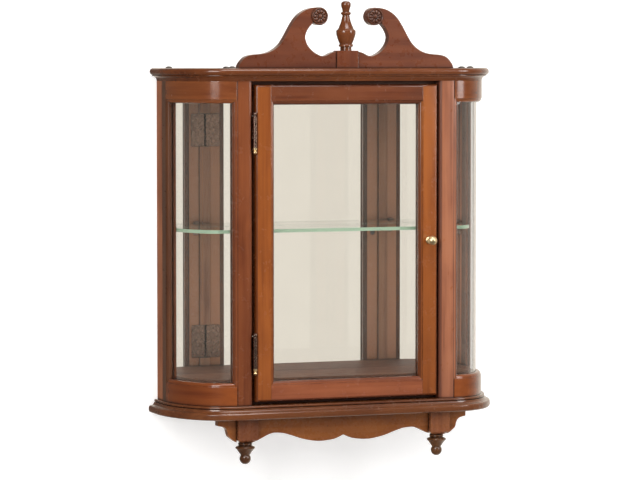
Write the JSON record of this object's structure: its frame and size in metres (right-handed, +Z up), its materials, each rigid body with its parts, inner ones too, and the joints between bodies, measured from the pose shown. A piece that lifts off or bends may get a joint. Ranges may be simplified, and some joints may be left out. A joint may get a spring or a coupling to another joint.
{
  "type": "wall curio cabinet",
  "caption": "Bow-sided wooden wall display cabinet with a glazed door on exposed hinges, bent side glass, mirrored back, glass shelf, scrolled pediment and carved apron.",
  "frame": {"origin": "midway between the two wall screw holes, in the plane of the wall", "axes": "+Z up, the cabinet's longest extent; +Y into the wall, out of the cabinet's back; the door faces -Y; +X to the right of a person facing the door"},
  "size_m": [0.612, 0.1882, 0.7918],
  "materials": {
    "cherry_wood": "stained cherry under satin lacquer, lightly distressed",
    "carved_wood": "carved and stained, darker in the hollows",
    "back_board": "plain board, raw",
    "clear_glass": "clear, polished edges",
    "mirror_glass": "silvered at the back",
    "polished_brass": "polished and lacquered",
    "antique_brass": "antique brown, rubbed bright at the tips",
    "dark_steel": "dark steel"
  },
  "bodies": {
    "cabinet": {"crown_board": "cherry_wood", "cornice_board": "cherry_wood", "scroll_board_left": "cherry_wood", "scroll_board_right": "cherry_wood", "rosette_left": "carved_wood", "rosette_right": "carved_wood", "pediment_plinth": "cherry_wood", "top_finial": "cherry_wood", "crown_screws": "dark_steel", "rear_side_board_left": "cherry_wood", "rear_side_board_right": "cherry_wood", "rear_stile_left": "cherry_wood", "rear_stile_right": "cherry_wood", "side_top_rail_left": "cherry_wood", "side_top_rail_right": "cherry_wood", "side_bottom_rail_left": "cherry_wood", "side_bottom_rail_right": "cherry_wood", "front_post_left": "cherry_wood", "front_post_right": "cherry_wood", "side_glass_left": "clear_glass", "side_glass_right": "clear_glass", "side_beads_left": "cherry_wood", "side_beads_right": "cherry_wood", "hanging_rail": "cherry_wood", "lower_back_rail": "cherry_wood", "front_top_rail": "cherry_wood", "front_bottom_rail": "cherry_wood", "door_stops": "cherry_wood", "floor_board": "cherry_wood", "base_board": "cherry_wood", "mirror": "mirror_glass", "back_panel": "back_board", "glass_shelf": "clear_glass", "shelf_clips": "antique_brass", "clip_screws": "antique_brass", "magnetic_catch": "dark_steel", "front_apron": "cherry_wood", "wing_bracket_left": "cherry_wood", "wing_bracket_right": "cherry_wood", "corner_block_left": "cherry_wood", "corner_block_right": "cherry_wood", "drop_finial_left": "cherry_wood", "drop_finial_right": "cherry_wood", "upper_hinge_post_leaf": "antique_brass", "lower_hinge_post_leaf": "antique_brass", "upper_hinge_pin": "antique_brass", "lower_hinge_pin": "antique_brass", "hinge_post_screws": "antique_brass"},
    "door": {"door_stile_left": "cherry_wood", "door_stile_right": "cherry_wood", "door_top_rail": "cherry_wood", "door_bottom_rail": "cherry_wood", "door_glass": "clear_glass", "door_glass_beads": "cherry_wood", "upper_hinge_door_leaf": "antique_brass", "lower_hinge_door_leaf": "antique_brass", "hinge_door_screws": "antique_brass", "door_knob": "polished_brass", "knob_screw": "dark_steel", "strike_plate": "dark_steel"}
  },
  "joints": [
    {"name": "door_hinge", "type": "hinge", "parent": "cabinet", "child": "door", "pos_m": [-0.16875, -0.168, -0.2575], "axis": [0, 0, -1], "range_deg": [0, 170]}
  ]
}
